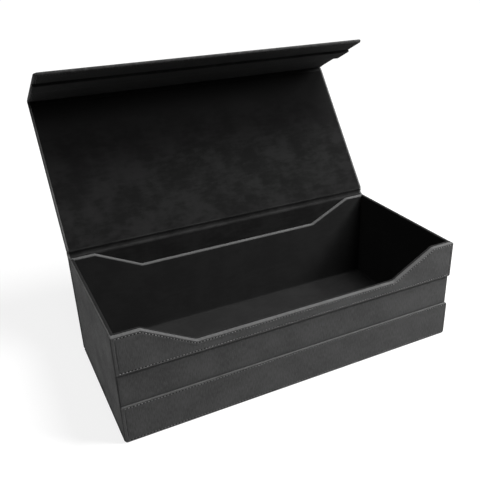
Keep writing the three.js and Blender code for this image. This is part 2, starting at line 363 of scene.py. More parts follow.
def tray_unevenness(point, sizes):
    """How far glued leather on the tray's walls departs from flat."""
    waves = sizes.unevenness / MM
    upright = smooth((point.z - 1) / 8) * smooth((BOX_TOP - 2 - point.z) / 8)
    if abs(point.x) > HALF_LENGTH - TRAY_CORNER:
        fade = smooth((HALF_DEPTH - abs(point.y)) / 12) * upright
        depth = waves * fade * (1 + wander(point.y, point.z, scale=34, seed=3.1))
        rim_edge = BOX_TOP - 3.6 + 0.7 * wander(point.y, 0, scale=9, seed=7.7)
        depth += 0.16 * smooth((point.z - rim_edge) / 0.5 + 0.5) * smooth(
            (HALF_DEPTH - 4 - abs(point.y)) / 4)
        return Vector((-math.copysign(depth, point.x), 0, 0))
    fade = smooth((HALF_LENGTH - abs(point.x)) / 12) * upright
    depth = 0.5 * waves * fade * (1 + wander(point.x, point.z, scale=40, seed=1.3))
    if point.y < 0:
        depth += crease(abs(point.x) - (HALF_LENGTH - PRESSED_AT), width=0.35, depth=0.3)
    return Vector((0, -math.copysign(depth, point.y), 0))

def build_tray_skin(sizes, finish):
    """The leather round the tray's four walls and over the rim of three of them."""
    outer_round = sizes.edge_round / MM
    inner_round = outer_round * 0.85
    middle = WALL - inner_round + SLACK
    bottom = BASE_HIGH.z + 0.06
    # Rows of (inset, drop, level, share, edge value), up the wall and over its rim
    rows = [(0.0, outer_round, bottom, 1 - i / WALL_STEPS, 1.0 if i < WALL_STEPS else 0.6)
            for i in range(WALL_STEPS + 1)]
    rows += [(depth, inset, None, 0.0, 0.0) for inset, depth in quarter(outer_round, 4)[1:]]
    rows += [((outer_round + middle) / 2, 0.0, None, 0.0, 0.3),
             (middle, 0.0, None, 0.0, 0.0)]
    rows += [(WALL - inset + SLACK, depth, None, 0.0, 0.1)
             for inset, depth in quarter(inner_round, 4)[1:]]
    rows.append((WALL + SLACK, inner_round + 0.5, None, 0.0, 0.5))
    sheet = Sheet()
    numbers = []
    for k, (*place, edge) in enumerate(rows):
        ring = tray_ring(*place, front_step=FRONT_STEP)
        over_rim = 0.5 * max(k - WALL_STEPS, 0)
        row = []
        for point, (u, v) in zip(ring, ring_uvs(ring)):
            if k <= WALL_STEPS:
                point = point + tray_unevenness(point, sizes)
            row.append(sheet.add(point, (u, v + over_rim), edge))
        numbers.append(row)
    sheet.grid(numbers, closed=True)
    build_piece("tray_skin", sheet, LEATHER, "case", finish, LEATHER_SLOT, (
        "left_leather", "right_leather", "front_leather", "rear_leather",
        "left_rim", "right_rim", "rear_rim"))

# Panels: leather turned over board

SEAM_INSETS = (4.0, 3.5, 3.1, 2.7, 2.4, 2.2, 2.0, 1.8, 1.6, 1.2)
SEAM_WIDTH = 0.32

class Panel:
    """The outline of a flat panel, which may have a cut-out along its top.

    reach is its thickness, and top_reach that of its top edge. With open_low, its lower
    side has no edge, because a fold goes on from there."""

    def __init__(self, half, low, high, reach, corner, rows, columns=EVEN_COLUMNS,
                 top=None, top_reach=None, open_low=False):
        self.half, self.low, self.high, self.reach = half, low, high, reach
        self.corner, self.rows, self.columns = corner, rows, columns
        self.top, self.open_low = top, open_low
        self.top_reach = reach if top_reach is None else top_reach

    def sides(self, inset):
        """Bottom, right, top and left sides and four corners, anticlockwise."""
        keep = max(inset, self.corner)
        radius = max(self.corner - inset, 0.0)
        inner = self.half - keep
        low = self.low if self.open_low else self.low + inset
        start = self.low if self.open_low else self.low + keep
        bottom = [(x * inner, low, self.reach) for x in self.columns]
        if self.top:
            top = [(point.x, point.y, self.top_reach) for point in self.top(inner, inset)]
        else:
            top = [(x * inner, self.high - inset, self.top_reach) for x in self.columns]
        top.reverse()
        heights = spread(start, self.high - keep, self.rows)
        reaches = [self.reach] * self.rows + [self.top_reach]
        right = [(self.half - inset, z, reach) for z, reach in zip(heights, reaches)]
        left = [(-x, z, reach) for x, z, reach in reversed(right)]
        corners = ((inner, self.low + keep, -90, self.reach),
                   (inner, self.high - keep, 0, self.top_reach),
                   (-inner, self.high - keep, 90, self.top_reach),
                   (-inner, self.low + keep, 180, self.reach))
        arcs = [[(*point, reach) for point in corner_arc(x, z, radius, degrees)]
                for x, z, degrees, reach in corners]
        return bottom, right, top, left, arcs

    def ring(self, inset):
        """The panel's border at an inset, with the side that each point is on."""
        bottom, right, top, left, arcs = self.sides(inset)
        parts = [("end", right), ("corner", arcs[1]), ("edge", top), ("corner", arcs[2]),
                 ("end", left)]
        if not self.open_low:
            parts = [("edge", bottom), ("corner", arcs[0])] + parts + [("corner", arcs[3])]
        return [(side, *point) for side, points in parts for point in points]

def no_sink(side, x, s, inset):
    return 0.0

def framed_sheet(panel, place, profile, sink=no_sink):
    """A panel's face, its rounded border, its side and its turned hem.

    place(x, s, depth) puts a point in the box; profile lists (inset, offset, share),
    where the depth is offset + share x the panel's reach; sink lowers the face."""
    sheet = Sheet()
    first = profile[0][0]
    bottom, _, top, _, _ = panel.sides(first)
    face = []
    for i, share in enumerate(spread(0, 1, panel.rows)):
        row = []
        for j, (low, high) in enumerate(zip(bottom, reversed(top))):
            x = low[0] + (high[0] - low[0]) * share
            s = low[1] + (high[1] - low[1]) * share
            inside = 0 < i < panel.rows and 0 < j < len(bottom) - 1
            side = "face" if inside or panel.open_low else "edge"
            row.append(sheet.add(place(x, s, sink(side, x, s, first)), (x, s)))
        face.append(row)
    sheet.grid(face)
    rings = []
    travel, before = 0.0, (first, 0.0)
    for inset, offset, share in profile:
        straight = offset + share * panel.reach
        travel += math.hypot(inset - before[0], straight - before[1])
        before = (inset, straight)
        outward = travel - (first - inset)
        edge = smooth(inset / 2.5) if (offset, share) == (0.0, 0.0) else 0.0
        ring = []
        for side, x, s, reach in panel.ring(inset):
            depth = offset + share * reach
            if share == 0.0 and offset < 0.2:
                depth += sink(side, x, s, inset)
            u, v = x, s
            if side == "end":
                u += math.copysign(outward, x)
            else:
                v += math.copysign(outward, s - (panel.low + panel.high) / 2)
            ring.append(sheet.add(place(x, s, depth), (u, v), edge))
        rings.append(ring)
    for one, other in zip(rings, rings[1:]):
        sheet.join(other, one, not panel.open_low)
    return sheet

def hem_profile(insets, radius, back_radius, flange):
    """The profile of an edge where leather is turned over board."""
    pairs = [(inset, 0.0, 0.0) for inset in insets]
    pairs += [(inset, depth, 0.0) for inset, depth in quarter(radius, 4)]
    pairs.append((0.0, (radius - back_radius) / 2, 0.5))
    pairs += [(inset, -depth, 1.0) for inset, depth in reversed(quarter(back_radius, 3))]
    pairs.append((flange, 0.0, 1.0))
    return pairs

# Front bands and base

def seam_sink(sizes, panel, seed):
    """How far a band's face lies below flat: seams, pressed ends and slow waves."""
    seam, depth = sizes.seam_inset / MM, sizes.seam_depth / MM
    waves = sizes.unevenness / MM * 0.6

    def sink(side, x, s, inset):
        from_end = panel.half - abs(x)
        from_edge = min(s - panel.low, panel.high - s)
        if side == "edge":
            return crease(inset - seam, SEAM_WIDTH, depth) * smooth((from_end - 3.5) / 3)
        if side == "end":
            return crease(inset - PRESSED_AT, 0.3, 0.28) * smooth((from_edge - 3) / 3)
        if side == "face":
            fade = smooth((from_end - 4) / 20) * smooth((from_edge - 4) / 5)
            return waves * fade * (1 + wander(x, s, scale=30, seed=seed))
        return 0.0
    return sink

def build_band(sizes, finish, name, panel, front, seed, nodes):
    """A front band: leather over card, with a seam along its edges."""
    sheet = framed_sheet(
        panel, lambda x, s, depth: Vector((x, front + depth, s)),
        hem_profile(SEAM_INSETS, sizes.band_round / MM, back_radius=0.55, flange=1.5),
        seam_sink(sizes, panel, seed))
    build_piece(name, sheet, LEATHER * 0.9, "case", finish, LEATHER_SLOT, nodes)

def build_bands(sizes, finish):
    """The upper band with the front rim over it, and the lower lip."""
    upper = Panel(
        HALF_LENGTH + 0.25, BAND_LOW.z, BOX_TOP, BAND_HIGH.y - BAND_LOW.y, corner=1.2,
        rows=12, columns=FLAT_COLUMNS, top_reach=RIM_HIGH.y - RIM_LOW.y + SLACK,
        top=lambda inner, inset: cut_line(inner, FRONT_CUT, inset))
    lip = Panel(HALF_COVER, LIP_LOW.z, LIP_HIGH.z, LIP_HIGH.y - LIP_LOW.y, corner=2.6,
                rows=12)
    build_band(sizes, finish, "upper_band", upper, BAND_LOW.y, 4.4,
               ("band_leather", "front_rim"))
    build_band(sizes, finish, "lower_lip", lip, LIP_LOW.y, 8.2, ("lip_leather",))

def build_base_skin(finish):
    panel = Panel(HALF_COVER, -HALF_DEPTH, HALF_DEPTH, BASE_HIGH.z - BASE_LOW.z,
                  corner=1.2, rows=20)
    profile = [(4.0, 0.0, 0.0), (1.5, 0.0, 0.0), (0.25, 0.0, 0.0), (0.07, 0.07, 0.0),
               (0.0, 0.25, 0.0), (0.0, 0.0, 1.0), (0.4, 0.0, 1.0)]
    sheet = framed_sheet(panel, lambda x, s, depth: Vector((x, -s, depth)), profile)
    build_piece("base_skin", sheet, 0.2, "case", finish, LEATHER_SLOT, ("base_leather",))

# Cover skins

def cover_place(axis, out, way):
    """Puts points of a cover panel in the box: across it, along it and in from its face."""
    def place(x, s, depth):
        return Vector((x, *(axis + out * (WALL / 2 - depth) + way * s)))
    return place

back_place = cover_place(HINGE, BACK_OUT, -BACK_UP)
flap_place = cover_place(FLAP_AXIS, FLAP_OUT, FLAP_WAY)

def cover_profile(sizes):
    radius = sizes.edge_round / MM
    return hem_profile((6.0, 4.0, 2.5, 1.4), radius, radius * 0.8, COVER_HEM)

def slow_sink(sizes, low, high, seed, scale=46):
    """How far slow waves lower a cover panel's face, from low to high along it."""
    def sink(side, x, s, inset):
        if side != "face":
            return 0.0
        fade = smooth((HALF_COVER - 6 - abs(x)) / 25)
        fade *= smooth((s - low) / 18) * smooth((high - s - 5) / 18)
        return sizes.unevenness / MM * fade * (1 + wander(x, s, scale, seed))
    return sink

def build_back_skin(sizes, finish):
    panel = Panel(HALF_COVER, BACK_SETBACK, HINGE.y, COVER_REACH, corner=1.2, rows=26,
                  open_low=True)
    sheet = framed_sheet(panel, back_place, cover_profile(sizes),
                         slow_sink(sizes, BACK_SETBACK, HINGE.y, seed=2.9))
    build_piece("back_skin", sheet, LEATHER, "case", finish, LEATHER_SLOT,
                ("back_leather",))

def build_flap_skin(sizes, finish):
    panel = Panel(HALF_COVER, FLAP_SETBACK, FLAP_REACH, FLAP_WALL - SLACK,
                  corner=sizes.flap_corner / MM, rows=22, open_low=True)
    radius = sizes.band_round / MM
    profile = hem_profile((6.0, 4.6, 3.8, 3.4, 3.0, 2.6, 2.0, 1.3), radius, radius * 2,
                          COVER_HEM)
    waves = slow_sink(sizes, FLAP_SETBACK, FLAP_REACH, seed=6.1)

    def sink(side, x, s, inset):
        if side == "face":
            return waves(side, x, s, inset)
        return crease(inset - FLAP_SEAM, SEAM_WIDTH, sizes.seam_depth / MM)

    sheet = framed_sheet(panel, flap_place, profile, sink)
    sheet.turn_over()
    build_piece("flap_skin", sheet, LEATHER, "flap", finish, LEATHER_SLOT,
                ("flap_leather",))

def side_columns(sizes):
    """Stations across a cover strip: hem, side and face, as (x, offset, share)."""
    profile = cover_profile(sizes)
    right = [(HALF_COVER - inset, offset, share) for inset, offset, share in profile]
    left = [(-x, offset, share) for x, offset, share in reversed(right)]
    inner = HALF_COVER - profile[0][0]
    return left + [(x, 0.0, 0.0) for x in spread(-inner, inner, 60)][1:-1] + right

def swept_sheet(rows, columns, sink=None):
    """A strip across the box. rows give (outer point, inner point, way along)."""
    sheet = Sheet()
    numbers = []
    for outer, inner, along in rows:
        full = (inner - outer).length
        way = (inner - outer).normalized()
        row = []
        for x, offset, share in columns:
            on_face = (offset, share) == (0.0, 0.0)
            depth = offset * min(full / COVER_REACH, 1.0) + share * full
            if sink and on_face:
                depth += sink(x, along)
            row.append(sheet.add((x, *(outer + way * depth)), (x, along),
                                 1.0 if on_face else 0.0))
        numbers.append(row)
    sheet.grid(numbers)
    return sheet

def build_lid_skin(sizes, finish):
    last = LID_REACH - FLAP_SETBACK
    waves = slow_sink(sizes, BACK_SETBACK, last, seed=5.3, scale=60)
    rows = []
    for s in spread(BACK_SETBACK, last, 34):
        outer = HINGE + LID_UP * s + LID_OUT * (WALL / 2)
        rows.append((outer, outer - LID_OUT * COVER_REACH, s))
    sheet = swept_sheet(rows, side_columns(sizes),
                        lambda x, along: waves("face", x, along, 0.0))
    sheet.edges = [1.0] * len(sheet.edges)  # the lid's edges get no edge tone: no wear and no painted light
    sheet.turn_over()
    build_piece("lid_skin", sheet, LEATHER, "lid", finish, LEATHER_SLOT, ("lid_leather",))

# Linings

LINER_HALF = HALF_COVER - COVER_HEM
LINER_ENDS = ((LINER_HALF, 0.15), (LINER_HALF - 0.15, 0.15 * 0.55),
              (LINER_HALF - 0.5, 0.15 * 0.15), (LINER_HALF - 1.2, 0.0))
LINER_COLUMNS = [(-x, fall) for x, fall in LINER_ENDS]
LINER_COLUMNS += [(x, 0.0) for x in spread(1.2 - LINER_HALF, LINER_HALF - 1.2, 72)][1:-1]
LINER_COLUMNS += reversed(LINER_ENDS)

def liner_sheet(points, lift=None):
    """A lining along points of the Y and Z plane; its face is to the left of the way."""
    sheet = Sheet()
    numbers = []
    ways = zip([points[0], *points], [*points[1:], points[-1]])
    for point, along, (before, after) in zip(points, path_lengths(points), ways):
        way = (after - before).normalized()
        normal = Vector((-way.y, way.x))
        row = []
        for x, fall in LINER_COLUMNS:
            rise = (lift(x, along) if lift and fall == 0.0 else 0.0) - fall
            row.append(sheet.add((x, *(point + normal * rise)), (x, along),
                                 0.0 if fall else 1.0))
        numbers.append(row)
    sheet.grid(numbers)
    return sheet

def build_back_liner(finish):
    points = [HINGE - BACK_OUT * (WALL / 2) - BACK_UP * s
              for s in spread(HINGE.y - COVER_HEM, BACK_SETBACK, 24)]
    build_piece("back_liner", liner_sheet(points), LINING, "case", finish, SUEDE_SLOT,
                ("back_lining",))

def build_lid_liner(sizes, finish):
    points = [HINGE - LID_OUT * (WALL / 2) + LID_UP * s
              for s in spread(BACK_SETBACK, LID_REACH - FLAP_SETBACK, 48)]

    def lift(x, along):
        fade = smooth(along / 10) * smooth((LID_REACH - 10 - along) / 10)
        fade *= smooth((HALF_COVER - 4 - abs(x)) / 20)
        return -sizes.unevenness / MM * fade * (1 + wander(x, along, scale=38, seed=9.4))

    build_piece("lid_liner", liner_sheet(points, lift), LINING, "lid", finish, SUEDE_SLOT,
                ("lid_lining",))

def build_flap_liner(sizes, finish):
    """The flap's lining, raised over the pad that holds the magnets."""
    rim = quarter(PAD_ROUND, 3)[:-1]
    shoulder = PAD_PROUD - PAD_ROUND
    path = [(s, 0.0) for s in spread(FLAP_SETBACK, PAD_START - 0.4, 12)]
    path += [(PAD_START, 0.25), (PAD_START + SLACK, shoulder)]
    path += [(PAD_START + inset + SLACK, PAD_PROUD - depth) for inset, depth in rim[::-1]]
    path += [(s, PAD_PROUD) for s in spread(PAD_START + 3, PAD_END - 3, 8)]
    path += [(PAD_END - inset - SLACK, PAD_PROUD - depth) for inset, depth in rim]
    path += [(PAD_END - SLACK, shoulder), (PAD_END, 0.25)]
    path += [(s, 0.0) for s in spread(PAD_END + 0.4, FLAP_REACH - COVER_HEM, 16)]
    half = HALF_COVER - 0.5
    inner = half - 1.6
    ends = [(half, 0.0), (half, shoulder)]
    ends += [(half - inset, PAD_PROUD - depth) for inset, depth in rim[::-1]]
    stations = [(-x, rise) for x, rise in ends]
    stations += [(x, PAD_PROUD) for x in spread(-inner, inner, 72)]
    stations += reversed(ends)
    sheet = Sheet()
    numbers = []
    for (s, rise), along in zip(path, path_lengths([Vector(pair) for pair in path])):
        row = []
        for x, limit in stations:
            fade = smooth((half - 6 - abs(x)) / 20) * smooth((s - 6) / 10)
            fade *= smooth((FLAP_REACH - 6 - s) / 10)
            height = min(rise, limit)
            height -= sizes.unevenness / MM * 0.6 * fade * (
                1 + wander(x, s, scale=26, seed=12.7))
            if limit == 0.0:
                height -= 0.1
            across = x if rise > 0 else max(-LINER_HALF, min(LINER_HALF, x))
            row.append(sheet.add(flap_place(across, s, FLAP_WALL + height), (x, along),
                                 0.0 if limit < PAD_PROUD else 1.0))
        numbers.append(row)
    sheet.grid(numbers)
    build_piece("flap_liner", sheet, LINING * 0.8, "flap", finish, SUEDE_SLOT,
                ("flap_lining",), weld=0.02, sharp_degrees=60)

def build_rim_suede(finish):
    """The lining's edge, laid over the front and side rims' inner half."""
    start, rise, face, low = WALL - 2.4, 0.28, WALL + 0.12, 1.8
    outline = [(start, 0.2), (start + 0.05, -rise * 0.6), (start + 0.3, -rise),
               (WALL - 0.9, -rise)]
    outline += [(face - inset, depth - rise) for inset, depth in quarter(0.9, 4)[1:]]
    outline += [(face, low), (WALL - 0.3, low), (WALL - 0.3, 0.3)]
    rear = HALF_DEPTH - WALL + 0.2
    wall, corner, side = len(FLAT_X), CORNER_STEPS - 1, SIDE_STEPS + 1
    left = wall + corner + side + corner + wall + corner
    rows = []
    for inset, drop in outline:
        ring = tray_ring(inset, drop)
        rows.append([Vector((point.x, min(point.y, rear), point.z))
                     for point in ring[left:] + ring[:wall + corner + side]])
    sheet = Sheet()
    numbers = []
    for k, along in enumerate(path_lengths([point.xy for point in rows[0]])):
        numbers.append([sheet.add(row[k], (along, inset + drop))
                        for row, (inset, drop) in zip(rows, outline)])
    sheet.grid(numbers, closed=True)
    sheet.faces += [tuple(numbers[0]), tuple(numbers[-1][::-1])]
    sheet.turn_over()
    build_piece("rim_suede", sheet, 0.0, "case", finish, SUEDE_SLOT, weld=0.001)

def build_tray_liner(finish):
    """The suede inside the tray: four walls and the floor in one skin."""
    fillet, wall_rows = 1.5, 20
    top, under_rim = 1.0, 1.6
    rows = [(WALL, top, None, 0.0), (WALL, under_rim, None, 0.0)]
    rows += [(WALL, under_rim, FLOOR_TOP + fillet, i / wall_rows)
             for i in range(1, wall_rows + 1)]
    rows += [(WALL + depth, under_rim, FLOOR_TOP + inset, 1.0)
             for inset, depth in quarter(fillet, 4)[1:]]
    rings = [tray_ring(*row) for row in rows]
    sheet = Sheet()
    sheet.grid([[sheet.add(point, uv) for point, uv in zip(ring, ring_uvs(ring))]
                for ring in rings], closed=True)
    start = len(FLAT_X) + CORNER_STEPS - 1
    front, right = rings[-1][:len(FLAT_X)], rings[-1][start:start + SIDE_STEPS + 1]
    sheet.grid([[sheet.add((point.x, station.y, FLOOR_TOP), (point.x, station.y))
                 for point in front] for station in right])
    build_piece("tray_liner", sheet, LINING, "case", finish, SUEDE_SLOT, (
        "floor_lining", "left_lining", "right_lining", "front_lining", "rear_lining"))

# Folds

def polar(degrees, radius):
    angle = math.radians(degrees)
    return Vector((radius * math.cos(angle), radius * math.sin(angle)))

def angle_of(vector):
    return math.degrees(math.atan2(vector.y, vector.x))

def back_fold_paths():
    """Outer and inner paths round the back fold, from the back to the lid."""
    half = WALL / 2
    reach = COVER_REACH - half
    dip_radius, groove = 3.2, 3.2
    first = BACK_OUT * half - BACK_UP * BACK_SETBACK
    last = LID_OUT * half + LID_UP * BACK_SETBACK
    turn = (angle_of(last) - angle_of(first)) % 360
    outer = []
    for share in spread(0, 1, 14):
        radius = first.length + (last.length - first.length) * share
        radius += (dip_radius - radius) * math.sin(math.pi * share)
        outer.append(polar(angle_of(first) + turn * share, radius))
    shoulder = [(BACK_SETBACK, 0.0), (3.3, 0.03), (2.8, 0.16), (2.45, 0.45), (2.25, 0.9),
                (2.1, 1.6), (1.9, 2.4), (1.3, 3.0)]
    inner = [BACK_OUT * (drop - reach) - BACK_UP * s for s, drop in shoulder]
    inner.append((BACK_OUT + LID_OUT).normalized() * (groove - reach))
    inner += [LID_OUT * (drop - reach) + LID_UP * s for s, drop in reversed(shoulder)]
    return outer, inner

def flap_fold_paths():
    """Outer and inner paths across the flap's fold, cut in two at its middle."""
    half = WALL / 2
    steps = 7
    groove = 1.1
    turn = 180 - math.degrees(FLAP_TURN)
    start = angle_of(LID_OUT)
    round_one = [polar(start + turn / 2 * k / steps, half) for k in range(1, steps + 1)]
    round_two = [polar(start + turn / 2 * (1 + k / steps), half) for k in range(steps)]
    lid_outer = [LID_OUT * half - LID_UP * s for s in spread(FLAP_SETBACK, 0.0, steps)]
    flap_outer = [FLAP_OUT * half + FLAP_WAY * s for s in spread(0.0, FLAP_SETBACK, steps)]

    def inner_path(first):
        swing = (start + turn / 2 + 180 - angle_of(first) + 180) % 360 - 180
        points = []
        for share in spread(0, 1, 2 * steps):
            radius = first.length + (groove - first.length) * smooth(share * 1.15)
            points.append(polar(angle_of(first) + swing * share ** 1.6, radius))
        return points

    lid_reach, flap_reach = COVER_REACH - half, FLAP_WALL - SLACK - half
    lid_inner = inner_path(LID_OUT * -lid_reach - LID_UP * FLAP_SETBACK)
    flap_inner = inner_path(FLAP_OUT * -flap_reach + FLAP_WAY * FLAP_SETBACK)
    return (lid_outer + round_one, lid_inner), (round_two + flap_outer, flap_inner[::-1])

def build_folds(sizes, leather, suede):
    """The soft folds; the flap's is cut in two, because two joints meet in it."""
    columns = side_columns(sizes)
    lid_half, flap_half = flap_fold_paths()
    folds = (("back_fold", "", HINGE, back_fold_paths(), ("case", "lid")),
             ("flap_fold", "_lid", FLAP_AXIS, lid_half, ("lid", "flap_fold")),
             ("flap_fold", "_flap", FLAP_AXIS, flap_half, ("flap_fold", "flap")))
    for fold, side, axis, paths, bodies in folds:
        lengths = path_lengths(paths[0])
        outer, inner = ([axis + point for point in path] for path in paths)
        skin = swept_sheet(zip(outer, inner, lengths), columns)
        skin.turn_over()
        layers = (
            (outer, f"{fold}_skin{side}", skin, LEATHER, leather, LEATHER_SLOT, "leather", 60),
            (inner, f"{fold}_liner{side}", liner_sheet(inner), LINING, suede, SUEDE_SLOT,
             "lining", 70))
        for path, name, sheet, thickness, finish, slot, layer, sharp in layers:
            piece = build_piece(name, sheet, thickness * 0.8, None, finish, slot,
                                (f"{fold}_{layer}",), sharp_degrees=sharp)
            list(bodies)
            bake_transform(piece)

# Node trees

class Wires:
    """Short ways to add and join the nodes of one tree."""

    def __init__(self, tree):
        self.tree = tree

    def add(self, kind, values=None, **settings):
        """A new node with its settings and its inputs."""
        node = self.tree.nodes.new(kind)
        for label, value in settings.items():
            setattr(node, label, value)
        self.put(node, values or {})
        return node

    def put(self, node, values):
        """Sets a node's inputs, by name or number, or links them to other nodes."""
        for label, value in values.items():
            socket = (node.inputs[label] if isinstance(label, int) else
                      next(item for item in node.inputs
                           if item.enabled and item.name == label))
            if isinstance(value, bpy.types.Node):
                value = next(item for item in value.outputs if item.enabled)
            if isinstance(value, bpy.types.NodeSocket):
                self.tree.links.new(value, socket)
            else:
                socket.default_value = value

    def math(self, operation, one, other, clamp=False):
        return self.add("ShaderNodeMath", {0: one, 1: other}, operation=operation,
                        use_clamp=clamp)

    def share(self, one, one_share, other, other_share):
        """The sum of two values, each times its share."""
        return self.math("ADD", self.math("MULTIPLY", one, one_share),
                         self.math("MULTIPLY", other, other_share))

    def remap(self, value, low, high, new_low=0.0, new_high=1.0):
        return self.add("ShaderNodeMapRange", {
            "Value": value, "From Min": low, "From Max": high, "To Min": new_low,
            "To Max": new_high}, interpolation_type="SMOOTHSTEP")

    def noise(self, vector, scale, detail=2.0, rough=0.5):
        return self.add("ShaderNodeTexNoise", {
            "Vector": vector, "Scale": scale, "Detail": detail, "Roughness": rough})

    def stretch(self, vector, scale):
        return self.add("ShaderNodeMapping", {"Vector": vector, "Scale": scale})

    def mix(self, factor, one, other):
        return self.add("ShaderNodeMix", {"Factor": factor, "A": one, "B": other},
                        data_type="RGBA")

    def cover(self, mask, share, tone, color):
        """Lays a share of a colour over a tone where the mask is."""
        return self.mix(self.math("MULTIPLY", mask, share), tone, color)

    def bump(self, height, strength, distance):
        return self.add("ShaderNodeBump", {
            "Strength": strength, "Distance": distance, "Height": height})

    def surface(self):
        return self.add("ShaderNodeUVMap", uv_map="Surface")

    def object_place(self):
        return self.add("ShaderNodeTexCoord").outputs["Object"]

    def group(self, tree, vector):
        return self.add("ShaderNodeGroup", {"Vector": vector}, node_tree=tree).outputs

# Stitches

MARK_INPUTS = (
    ("Geometry", "Geometry", None), ("Pitch", "Float", 0.003), ("Length", "Float", 0.002),
    ("Width", "Float", 0.0006), ("Height", "Float", 0.0004), ("Shift", "Float", 0.0),
    ("Tilt", "Float", 0.05), ("Seed", "Int", 7), ("Finish", "Material", None),
)

def stitch_tree():
    """Rows of small rounded marks along edges that carry an up direction."""
    name = "Stitch row"
    if name in bpy.data.node_groups:
        return bpy.data.node_groups[name]
    tree = bpy.data.node_groups.new(name, "GeometryNodeTree")
    for label, kind, value in MARK_INPUTS:
        socket = tree.interface.new_socket(
            label, in_out="INPUT", socket_type=f"NodeSocket{kind}")
        if value is not None:
            socket.default_value = value
    tree.interface.new_socket("Geometry", in_out="OUTPUT", socket_type="NodeSocketGeometry")
    w = Wires(tree)
    given = w.add("NodeGroupInput").outputs
    line = w.add("GeometryNodeMeshToCurve", {"Mesh": given["Geometry"]})
    even = w.add("GeometryNodeResampleCurve", {"Curve": line, "Length": given["Pitch"]},
                 mode="LENGTH")
    tangent = w.add("GeometryNodeInputTangent")
    move = w.add("ShaderNodeVectorMath", {0: tangent, "Scale": given["Shift"]},
                 operation="SCALE")
    points = w.add("GeometryNodeSetPosition", {"Geometry": even, "Offset": move})
    up = w.add("GeometryNodeInputNamedAttribute", {"Name": "up"},
               data_type="FLOAT_VECTOR")
    axes = w.add("FunctionNodeAxesToRotation", {0: up, 1: tangent}, primary_axis="Z",
                 secondary_axis="X")
    tilt = w.add("FunctionNodeRandomValue", {
        "Min": w.math("MULTIPLY", given["Tilt"], -1.0), "Max": given["Tilt"],
        "Seed": given["Seed"]}, data_type="FLOAT")
    turn = w.add("FunctionNodeEulerToRotation", {
        0: w.add("ShaderNodeCombineXYZ", {"Z": tilt})})
    rotation = w.add("FunctionNodeRotateRotation", {"Rotation": axes, "Rotate By": turn},
                     rotation_space="LOCAL")
    ball = w.add("GeometryNodeMeshUVSphere", {"Segments": 6, "Rings": 4, "Radius": 0.5})
    size = w.add("ShaderNodeCombineXYZ", {
        "X": given["Length"], "Y": given["Width"], "Z": given["Height"]})
    mark = w.add("GeometryNodeTransform", {"Geometry": ball, "Scale": size})
    soft = w.add("GeometryNodeSetShadeSmooth", {"Geometry": mark})
    marks = w.add("GeometryNodeInstanceOnPoints", {
        "Points": points, "Instance": soft, "Rotation": rotation})
    real = w.add("GeometryNodeRealizeInstances", {"Geometry": marks})
    paint = w.add("GeometryNodeSetMaterial", {
        "Geometry": real, "Material": given["Finish"]})
    w.add("NodeGroupOutput", {"Geometry": paint})
    return tree

def build_rows(name, body, rows, values, finish):
    """Marks along rows of (points, up direction), as one plain mesh."""
    points, edges, ups = [], [], []
    for line, up in rows:
        start = len(points)
        points += [point * MM for point in line]
        edges += [(start + i, start + i + 1) for i in range(len(line) - 1)]
        ups += [up] * len(line)
    mesh = bpy.data.meshes.new(name)
    mesh.from_pydata(points, edges, [])
    attribute = mesh.attributes.new("up", "FLOAT_VECTOR", "POINT")
    for item, up in zip(attribute.data, ups):
        item.vector = up
    piece = new_object(name, mesh)
    modifier = piece.modifiers.new("Rows", "NODES")
    modifier.node_group = stitch_tree()
    known = {item.name: item.identifier
             for item in modifier.node_group.interface.items_tree
             if item.in_out == "INPUT"}
    for label, value in {**values, "Finish": finish}.items():
        modifier[known[label]] = value
    make_plain(piece)
    if not piece.data.polygons:
        raise RuntimeError(f"{name} came out empty")
    finish_piece(piece, body, finish, LEATHER_SLOT)

def band_rows(sizes):
    """Rows along the rim, the upper band's lower edge and the lip's two edges."""
    seam = sizes.seam_inset / MM
    front = Vector((0, -1, 0))
    face = BAND_LOW.y + sizes.seam_depth / MM * 0.75
    half = HALF_LENGTH - 3.6
    rows = [([Vector((point.x, face, point.y)) for point in cut_line(half, FRONT_CUT, seam)],
             front)]
    for z in (BAND_LOW.z + seam, LIP_HIGH.z - seam, seam):
        rows.append(([Vector((x, face, z)) for x in spread(-half, half, 80)], front))
    return rows

def flap_rows(sizes):
    """Rows round the flap, outside and inside, where the pad interrupts them."""
    side = HALF_COVER - FLAP_SEAM
    far = FLAP_REACH - FLAP_SEAM
    start = FLAP_SETBACK + 1.5
    over, under = PAD_END + 2.0, PAD_START - 2.0
    outside, inside = sizes.seam_depth / MM * 0.75, FLAP_WALL - 0.2
    out = Vector((0, *FLAP_OUT))

    def line(depth, *corners):
        points = [flap_place(*corners[0], depth)]
        for one, other in zip(corners, corners[1:]):
            steps = zip(spread(one[0], other[0], 40), spread(one[1], other[1], 40))
            points += [flap_place(x, s, depth) for x, s in steps][1:]
        return points

    return [
        (line(outside, (-side, start), (-side, far), (side, far), (side, start)), out),
        (line(inside, (-side, over), (-side, far), (side, far), (side, over)), -out),
        (line(inside, (-side, start), (-side, under)), -out),
        (line(inside, (side, start), (side, under)), -out)]

def build_stitches(sizes, thread, hole):
    pitch, width = sizes.stitch_pitch, sizes.stitch_width
    gap = pitch - sizes.stitch_length
    threads = {"Pitch": pitch, "Length": sizes.stitch_length, "Width": width,
               "Height": width * 0.9, "Tilt": 0.09, "Seed": 11}
    # Dark marks between the stitches: painted shade of the needle holes.
    hole_shades = {"Pitch": pitch, "Length": gap * 1.6, "Width": width * 1.9,
             "Height": width * 0.8, "Shift": pitch / 2, "Tilt": 0.3, "Seed": 23}
    for body, rows in (("case", band_rows(sizes)), ("flap", flap_rows(sizes))):
        build_rows(f"{body}_stitches", body, rows, threads, thread)
        build_rows(f"{body}_needle_hole_shades", body, rows, hole_shades, hole)

# Patterns that the finishes share

